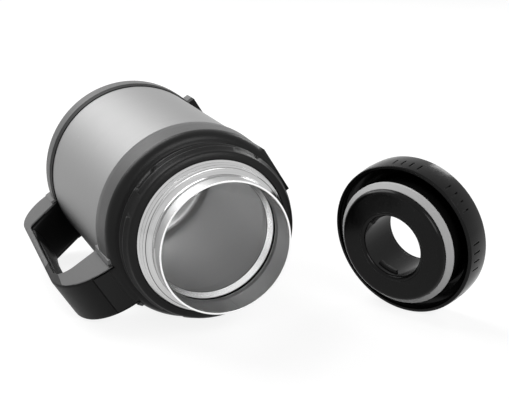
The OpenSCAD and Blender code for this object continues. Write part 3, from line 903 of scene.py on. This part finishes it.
@dataclass
class SteelBody:
    """The steel shell, its neck and the vessel, in millimetres in the jar's own frame.

    Attributes:
        neck_turns: the turns of the rolled thread.
        bead: width, height and sink of the thread's section.
        bead_steps: number of stretches of a turn.
        bead_taper: share of each end over which a turn dies away.
        bore_r: radius of the mouth.
        weld_span: heights where the mouth's weld line starts and ends.
        weld_deg: the weld line's middle angle and half of its width.
        weld_lift: how far its middle stands up.
        weld_sink: how far its sides are sunk.
        weld_grid: its number of faces along and across.
    """

    neck_turns: tuple[NeckTurn, ...] = (
        NeckTurn(39.35, 100.0, 224.0, 150.4, 1.5, 0.6),
        NeckTurn(38.2, 20.0, 300.0, 153.2, 1.5, 0.6),
        NeckTurn(35.2, 322.0, 34.0, 160.0, 2.4, 0.0),
    )
    bead: Triple = (1.5, 0.42, 0.3)
    bead_steps: int = 72
    bead_taper: float = 0.1
    bore_r: float = 34.3
    weld_span: Pair = (154.4, 167.4)
    weld_deg: Pair = (69.0, 0.75)
    weld_lift: float = 0.10
    weld_sink: float = 0.02
    weld_grid: tuple[int, int] = (12, 5)

    def build(self, shop: Workshop) -> None:
        """Builds the rolled threads and the mouth's weld line.

        Args:
            shop: the workshop.
        """
        for index, turn in enumerate(self.neck_turns):
            points, faces = swept_bead(turn.place, half_round(*self.bead), self.bead_steps, self.bead_taper)
            shop.piece(f"neck_thread_{index + 1}", points, faces, Look.NECK)
        rows, columns = self.weld_grid
        (low, high), (middle, half) = self.weld_span, self.weld_deg
        points = []
        for i in range(rows + 1):
            height = low + (high - low) * i / rows
            for j in range(columns + 1):
                across = 2 * j / columns - 1
                radius = self.bore_r + self.weld_sink - self.weld_lift * (1 - across * across)
                points.append(ring_point(radius, middle + across * half, height))
        starts = [i * (columns + 1) + j for i in range(rows) for j in range(columns)]
        faces = [(a, a + 1, a + columns + 2, a + columns + 1) for a in starts]
        shop.piece("mouth_weld_line", points, faces, Look.VESSEL)

    def dress(self, shop: Workshop) -> None:
        """Gives the steel nodes their finishes."""
        shop.dress(outer_shell=Look.BODY, shell_shoulder=Look.NECK, inner_vessel=Look.VESSEL)
        shop.dress(vessel_bottom=Look.BOTTOM, shell_base_plate=Look.MILL, vacuum_seal=Look.MILL)
        shop.dress(getter=Look.GETTER, heat_shield=Look.FOIL)


def rounded_corner(
    before: Vector, corner: Vector, after: Vector, radius: float, steps: int
) -> list[Vector]:
    """Rounds a corner of an outline.

    Args:
        before: the corner before it.
        corner: the corner itself.
        after: the corner after it.
        radius: radius of the arc.
        steps: number of stretches of the arc.

    Returns:
        The arc's points, in the outline's order.
    """
    inward, outward = (before - corner).normalized(), (after - corner).normalized()
    half = inward.angle(outward) / 2
    centre = corner + (inward + outward).normalized() * radius / math.sin(half)
    start = corner + inward * radius / math.tan(half) - centre
    turn = math.pi - 2 * half
    if inward.x * outward.y - inward.y * outward.x > 0:
        turn = -turn
    return [centre + Matrix.Rotation(turn * i / steps, 2) @ start for i in range(steps + 1)]


@dataclass
class Handle:
    """The strap with its two arms, in millimetres in the jar's own frame.

    Attributes:
        shell_r: radius of the steel shell that the arms stand on.
        start: distance from the axis where the arms' outlines start, inside the shell.
        reach: distance of the outer face from the axis.
        draw: how far the outer face comes in at the base.
        thickness: thickness of the strap.
        top: height of the front of the upper arm.
        inner_top: height of the upper arm's inner face.
        waist: height at which the strap reaches farthest out.
        base_arm: height of the lower arm's inner face at the shell.
        arm_rise: how far that face rises on its way out.
        half_base: half of its width at the base.
        half_waist: half of its width at the waist.
        half_top: half of its width at the collar.
        edge: radius of its edges.
        edge_share: largest share of half the thickness that the radius takes.
        margin: longest flat beside an edge, its share of the flat and its least length.
        corner_radii: radii of the outer line's and of the inner line's low and high corners.
        corner_crown: how far the inner face swells at its low corner.
        crown_reach: length over which the swelling dies away.
        crown_limit: shares of the section and of the swelling that cap it.
        crown_power: how square the swelling is across the strap.
        fan_steps: number of stretches across the inner face.
        arc_steps: number of stretches of a corner's arc.
        edge_steps: number of stretches of an edge's arc.
        span_shares: places of the points along a straight stretch.
        lug: length and half width of the collar's plate that is let into its front.
        lug_depth: thickness of that plate.
        groove: gap round that plate.
        seat_start: distance from the axis where the plate's seat starts.
        seat_over: how far the seat's cutter stands over the front.
        plate_lead: distance from the shell where the plate's trimming starts.
        plate_clear: how far the plate's cutter stands over the front and beyond the reach.
        saddle_span: heights where the saddle starts and ends.
        saddle_lift: how far the saddle lies over the shell.
        saddle_rim: steps aside and outwards of a rim's corners.
        saddle_end: length and height of the rims' sloping ends.
        side_slope: slope at which a face counts as the strap's side.
        side_margin: gap between the seat and the strap's sides.
    """

    shell_r: float = 51.1
    start: float = 45.5
    reach: float = 79.2
    draw: float = 6.0
    thickness: float = 3.7
    top: float = 132.7
    inner_top: float = 103.1
    waist: float = 98.0
    base_arm: float = 18.0
    arm_rise: float = 7.0
    half_base: float = 14.2
    half_waist: float = 12.45
    half_top: float = 13.6
    edge: float = 1.5
    edge_share: float = 0.8
    margin: Triple = (0.4, 0.3, 0.01)
    corner_radii: tuple[float, float, float, float] = (21.0, 33.0, 3.0, 10.5)
    corner_crown: float = 5.0
    crown_reach: float = 9.0
    crown_limit: Pair = (0.8, 0.4)
    crown_power: float = 0.25
    fan_steps: int = 16
    arc_steps: int = 22
    edge_steps: int = 5
    span_shares: tuple[float, ...] = (0.03, 0.2, 0.4, 0.6, 0.8, 0.97)
    lug: Pair = (61.2, 11.85)
    lug_depth: float = 4.7
    groove: float = 0.8
    seat_start: float = 40.0
    seat_over: float = 5.0
    plate_lead: float = 1.2
    plate_clear: Pair = (1.0, 10.0)
    saddle_span: Pair = (107.0, 131.2)
    saddle_lift: float = 1.0
    saddle_rim: tuple[Pair, ...] = ((3.0, -1.2), (2.9, 0.1), (0.75, 0.9), (0.65, -0.9))
    saddle_end: Pair = (0.4, 0.2)
    side_slope: float = 0.35
    side_margin: float = 0.05

    def _face(self, height: float) -> float:
        """Gives the outer face's distance from the axis at a height."""
        return self.reach - self.draw * (1 - height / self.waist)

    def _half_width(self, height: float) -> float:
        """Gives half of the strap's width at a height.

        Args:
            height: the height.

        Returns:
            Half of the width.
        """
        if height < self.waist:
            return self.half_base + (self.half_waist - self.half_base) * max(height / self.waist, 0.0)
        share = min((height - self.waist) / (self.top - self.waist), 1.0)
        return self.half_waist + (self.half_top - self.half_waist) * share

    def _line(self, corners_2d: Sequence[Pair], radii: Pair) -> list[Vector]:
        """Gives an outline of four corners with its two middle corners rounded.

        Args:
            corners_2d: distance from the axis and height of each corner.
            radii: radii of the two middle corners.

        Returns:
            The outline's points.
        """
        a, b, c, d = (Vector(corner) for corner in corners_2d)
        first = rounded_corner(a, b, c, radii[0], self.arc_steps)
        second = rounded_corner(b, c, d, radii[1], self.arc_steps)
        points = [a]
        for goal in (first, second, [d]):
            points += [points[-1].lerp(goal[0], share) for share in self.span_shares] + list(goal)
        return points

    def _ring(self, inner: Vector, outer: Vector, rise: float) -> list[Triple]:
        """Gives the strap's section between a point of its inner line and one of its outer line.

        Args:
            inner: the point of the inner line.
            outer: the point of the outer line.
            rise: how far the inner face is crowned there.

        Returns:
            The section's points, round it once.
        """
        middle, half_t = (inner + outer) / 2, (outer - inner).length / 2
        across = (outer - inner).normalized()
        half_w = self._half_width(middle.y)
        r, steps = min(self.edge, half_t * self.edge_share), self.edge_steps
        most, share, least_margin = self.margin
        lead = min(most, share * (half_t - r) + least_margin)
        points = []
        for corner, (sx, sy) in enumerate(((1, 1), (-1, 1), (-1, -1), (1, -1))):
            turns = [math.radians(corner * 90 + 90 * i / steps) for i in range(steps + 1)]
            x, y = sx * (half_t - r), sy * (half_w - r)
            local = [(x + r * math.cos(t), y + r * math.sin(t)) for t in turns]
            along, aside = (0, -sy * lead), (-sx * lead, 0)
            if corner % 2:
                along, aside = aside, along
            beyond = Vector(local[-1]) + Vector(aside)
            stretch = [Vector(local[0]) + Vector(along), *local, beyond]
            if corner == 1:
                stretch += self._crowned(beyond, rise)
            for u, w in stretch:
                place = middle + across * u
                least = math.sqrt(self.shell_r**2 - w * w)
                points.append((max(place.x, least), w, place.y))
        return points

    def _crowned(self, edge: Vector, rise: float) -> list[Vector]:
        """Gives the crowned inner face of a section, from one edge to the other.

        Args:
            edge: the point beside the first edge.
            rise: how far the face is crowned.

        Returns:
            The points between the edges.
        """
        fan = [edge.y * math.cos(math.pi * i / self.fan_steps) for i in range(1, self.fan_steps)]
        swell = [math.cos(w / edge.y * math.pi / 2) ** self.crown_power for w in fan]
        return [Vector((edge.x - rise * grow, w)) for grow, w in zip(swell, fan)]

    def _lines(self) -> tuple[list[Vector], list[Vector]]:
        """Gives the strap's inner and outer lines, point for point.

        Returns:
            The inner line and the outer line.
        """
        low_out, high_out, low_in, high_in = self.corner_radii
        start, top, inner_top = self.start, self.top, self.inner_top
        front = ((start, 0.0), (self._face(0.0), 0.0), (self._face(top), top), (start, top))
        outer = self._line(front, (low_out, high_out))
        slope = self.arm_rise * (self.shell_r - start) / (self.reach - self.shell_r)
        high_bend = (self._face(inner_top) - self.thickness, inner_top)
        back = ((start, self.base_arm - slope), self._low_bend(), high_bend, (start, inner_top))
        inner = self._line(back, (low_in, high_in))
        return inner, outer

    def _low_bend(self) -> Pair:
        """Gives the inner line's low corner before it is rounded."""
        rise = self.base_arm + self.arm_rise
        return (self._face(rise) - self.thickness, rise)

    def build(self, shop: Workshop) -> None:
        """Builds the strap, cuts the seat of the collar's plate and lays the saddle under it.

        Args:
            shop: the workshop.
        """
        inner, outer = self._lines()
        bend = Vector(self._low_bend())
        share, rest = self.crown_limit
        rings = []
        for a, b in zip(inner, outer):
            grow = self.corner_crown * math.exp(-(((a - bend).length / self.crown_reach) ** 2))
            rings.append(self._ring(a, b, min(grow, share * (b - a).length + grow * rest)))
        points, faces = [p for ring in rings for p in ring], tube_faces(len(rings), len(rings[0]))
        strap = shop.piece("handle_strap", points, faces, Look.STRAP)
        reach, half = self.lug[0] + self.groove, self.lug[1] + self.groove
        near, foot, over = self.seat_start, self.top - self.lug_depth, self.top + self.seat_over
        join_corners(strap.data)
        seat = [(near, foot), (reach, foot), (reach, over), (near, over)]
        cut_away(strap, *prism(seat, half))
        # Painted shade: the strap's inner and outer faces get a darker copy of its plastic.
        self._paint_strap_shade(shop, strap)
        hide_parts("handle_shell")
        self._saddle(shop)
        self._trim_plate(shop, outer)

    def _trim_plate(self, shop: Workshop, outer: Sequence[Vector]) -> None:
        """Trims the collar's plate so that it follows the strap's front.

        Args:
            shop: the workshop.
            outer: the strap's outer line.
        """
        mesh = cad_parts["collar"].data.copy()
        join_corners(mesh)
        collar = placed("collar_moulding", mesh)
        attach(collar, JAR_BODY)
        near, over = self.shell_r + self.plate_lead, self.top + self.plate_clear[0]
        far = self.reach + self.plate_clear[1]
        front = [(p.x, p.y) for p in outer if p.x > near and p.y > self.inner_top]
        outline = [*front, (near, front[-1][1]), (near, over), (far, over), (far, front[0][1])]
        cut_away(collar, *prism(outline, self.half_top))
        for place in collar.material_slots:
            place.material = shop.materials[Look.COLLAR]
        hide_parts("collar")
        log.info("collar_moulding built with %d faces", len(collar.data.polygons))

    def _saddle(self, shop: Workshop) -> None:
        """Lays the saddle under the upper arm, whose rims stand up on both sides of it.

        Args:
            shop: the workshop.
        """
        base = self.shell_r + self.saddle_lift
        rim = [(self.half_top + aside, out) for aside, out in self.saddle_rim]
        section = rim + [(-w, h) for w, h in reversed(rim)]
        low, high = self.saddle_span
        length, end_height = self.saddle_end
        heights = (low, low + length, high - length, high)
        points = []
        for height in heights:
            for w, h in section:
                lift = h if low < height < high else min(h, end_height)
                points.append((math.sqrt((base + lift) ** 2 - w * w), w, height))
        faces = [(face[0], *reversed(face[1:])) for face in tube_faces(len(heights), len(section))]
        shop.piece("handle_saddle", points, faces, Look.TRIM)

    def _paint_strap_shade(self, shop: Workshop, strap: bpy.types.Object) -> None:
        """Paints shade on the strap's inner and outer faces and on the walls of the plate's seat, with a
        darker copy of its plastic.

        Args:
            shop: the workshop.
            strap: the strap.
        """
        strap.data.materials.append(shop.materials[Look.STRAP_SHADE])
        across = (JAR_MATRIX.to_3x3() @ Vector((0.0, 1.0, 0.0))).normalized()
        least = (self.lug[1] + self.groove + self.side_margin) * MM
        for face in strap.data.polygons:
            steep = abs(face.normal.dot(across)) > self.side_slope
            face.material_index = 0 if steep and abs(face.center.dot(across)) > least else 1


class PlasticFittings:
    """The collar, the base cup and what goes with them."""

    def dress(self, shop: Workshop) -> None:
        """Gives the plastic, rubber and screw nodes their finishes."""
        shop.dress(collar=Look.COLLAR, base_cup=Look.CUP, handle_grip=Look.GRIP)
        shop.dress(collar_seal=Look.RUBBER, handle_screws=Look.SCREWS)


class Stopper:
    """The ring stopper."""

    def dress(self, shop: Workshop) -> None:
        """Gives the stopper's nodes their finishes."""
        black = dict.fromkeys(("stopper_ring", "stopper_cover", "stopper_plug", "hole_sleeve"), Look.BLACK)
        shop.dress(**black, stopper_gasket=Look.SILICONE, stopper_foam=Look.FOAM)


@dataclass(frozen=True)
class Lamp:
    """A square soft lamp.

    Attributes:
        name: its name.
        place: where it hangs.
        aim: the point that it faces.
        size: its side, in metres.
        power: its power, in watts.
    """

    name: str
    place: Triple
    aim: Triple
    size: float
    power: float

    def hang(self) -> None:
        """Puts the lamp in the scene."""
        data = bpy.data.lights.new(self.name, "AREA")
        data.size = self.size
        data.energy = self.power
        lamp = placed(self.name, data)
        lamp.location = self.place
        lamp.rotation_mode = "QUATERNION"
        lamp.rotation_quaternion = (Vector(self.aim) - Vector(self.place)).to_track_quat("-Z", "Y")


@dataclass
class Studio:
    """Floor, lamps, world and camera.

    Attributes:
        floor_z: height of the surface that the jar lies on.
        floor_half: half of the floor's side.
        floor_greys: darkest and palest grey of the floor.
        floor_grain: density of its clouds.
        floor_spread: the clouds' range that the greys follow.
        floor_rough: its roughness.
        floor_glow: how far it lights up where it is seen.
        camera_place: the camera's place.
        camera_right: the camera's right.
        camera_up: the camera's up.
        camera_back: from the object towards the camera.
        focal_px: focal length in pixels of the photograph.
        clip: nearest and farthest distance that the camera sees.
        world_level: strength of the light from all round.
        lamps: the lamps.
    """

    floor_z: float = -0.0521
    floor_half: float = 12.0
    floor_greys: Pair = (0.25, 0.27)
    floor_grain: float = 6.0
    floor_spread: Pair = (0.3, 0.7)
    floor_rough: float = 0.9
    floor_glow: float = 0.86
    camera_place: Triple = (-0.19896, -0.66788, 0.20303)
    camera_right: Triple = (0.91941, -0.39330, 0.00018)
    camera_up: Triple = (0.12318, 0.28840, 0.94955)
    camera_back: Triple = (-0.37351, -0.87300, 0.31361)
    focal_px: float = 1157.0
    clip: Pair = (0.01, 50.0)
    world_level: float = 0.05
    lamps: tuple[Lamp, ...] = (
        Lamp("key", (-0.42, 0.62, 0.9), (0.02, -0.1, 0.0), 0.95, 14.0),
        Lamp("rim", (0.9, 0.4, 0.5), (0.06, -0.12, 0.0), 0.3, 2.0),
        Lamp("front", (0.15, -1.1, 0.55), (0.04, -0.14, 0.0), 0.6, 6.0),
    )

    def build(self) -> None:
        """Builds the whole studio."""
        self._camera()
        self._world()
        self._floor()
        for lamp in self.lamps:
            lamp.hang()

    def _camera(self) -> None:
        """Sets the camera at the photograph's place."""
        data = bpy.data.cameras.new("camera")
        data.sensor_width = SENSOR_MM
        data.lens = self.focal_px * SENSOR_MM / PHOTO_WIDTH_PX
        data.clip_start, data.clip_end = self.clip
        camera = placed("camera", data)
        turn = Matrix((self.camera_right, self.camera_up, self.camera_back)).transposed()
        camera.matrix_world = Matrix.Translation(self.camera_place) @ turn.to_4x4()
        bpy.context.scene.camera = camera

    def _seen_or_lit(
        self, nodes: Nodes, lit: bpy.types.NodeSocket, seen: bpy.types.NodeSocket, output: bpy.types.Node
    ) -> None:
        """Shows one shader to rays that see the background and another to the rest.

        Args:
            nodes: the tree's nodes.
            lit: the shader that lights the scene.
            seen: the shader seen by the camera, off gloss and through glass.
            output: the tree's output.
        """
        path = nodes.add("ShaderNodeLightPath").outputs
        both = nodes.plus(path["Is Camera Ray"], path["Is Glossy Ray"])
        white = nodes.math("MINIMUM", nodes.plus(both, path["Is Transmission Ray"]), 1.0)
        mixer = nodes.add("ShaderNodeMixShader")
        for socket, source in zip(mixer.inputs, (white, lit, seen)):
            nodes.tree.links.new(source, socket)
        nodes.put(output, Surface=mixer.outputs[0])

    def _world(self) -> None:
        """Builds a plain world that is white where it is seen."""
        world = bpy.data.worlds.new("world")
        bpy.context.scene.world = world
        nodes = fresh_nodes(world)
        light = nodes.put(nodes.add("ShaderNodeBackground"), Color=WHITE, Strength=self.world_level)
        seen = nodes.put(nodes.add("ShaderNodeBackground"), Color=WHITE, Strength=1.0)
        self._seen_or_lit(nodes, light.outputs[0], seen.outputs[0], nodes.add("ShaderNodeOutputWorld"))

    def _floor(self) -> None:
        """Lays the pale floor, which keeps the object's shadow."""
        half, height = self.floor_half, self.floor_z
        mesh = bpy.data.meshes.new("floor")
        edge = ((-half, -half), (half, -half), (half, half), (-half, half))
        mesh.from_pydata([(x, y, height) for x, y in edge], [], [(0, 1, 2, 3)])
        floor = placed("floor", mesh)
        material = bpy.data.materials.new("pale_floor")
        nodes = fresh_nodes(material)
        place = nodes.add("ShaderNodeTexCoord").outputs["Object"]
        soft = nodes.spread(nodes.noise(place, self.floor_grain, 2.0), *self.floor_spread)
        tone = nodes.mix(soft, *((*grey(level), 1.0) for level in self.floor_greys))
        shader = nodes.add("ShaderNodeBsdfPrincipled")
        nodes.put(shader, Base_Color=tone, Roughness=self.floor_rough, Specular_IOR_Level=0.0)
        glow = nodes.put(nodes.add("ShaderNodeEmission"), Color=WHITE, Strength=self.floor_glow)
        both = nodes.add("ShaderNodeAddShader")
        for socket, source in zip(both.inputs, (shader, glow)):
            nodes.tree.links.new(source.outputs[0], socket)
        self._seen_or_lit(nodes, shader.outputs[0], both.outputs[0], nodes.add("ShaderNodeOutputMaterial"))
        mesh.materials.append(material)


def main() -> None:
    """Builds and dresses every sub-assembly in order."""
    logging.basicConfig(level=logging.INFO, format="%(name)s: %(message)s")
    scene = bpy.context.scene
    scene.view_settings.view_transform = "Standard"
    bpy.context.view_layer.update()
    shop = Workshop()
    steel = SteelBody()
    steel.build(shop)
    steel.dress(shop)
    PlasticFittings().dress(shop)
    Handle().build(shop)
    Stopper().dress(shop)
    Studio().build()


if __name__ == "__main__":
    main()
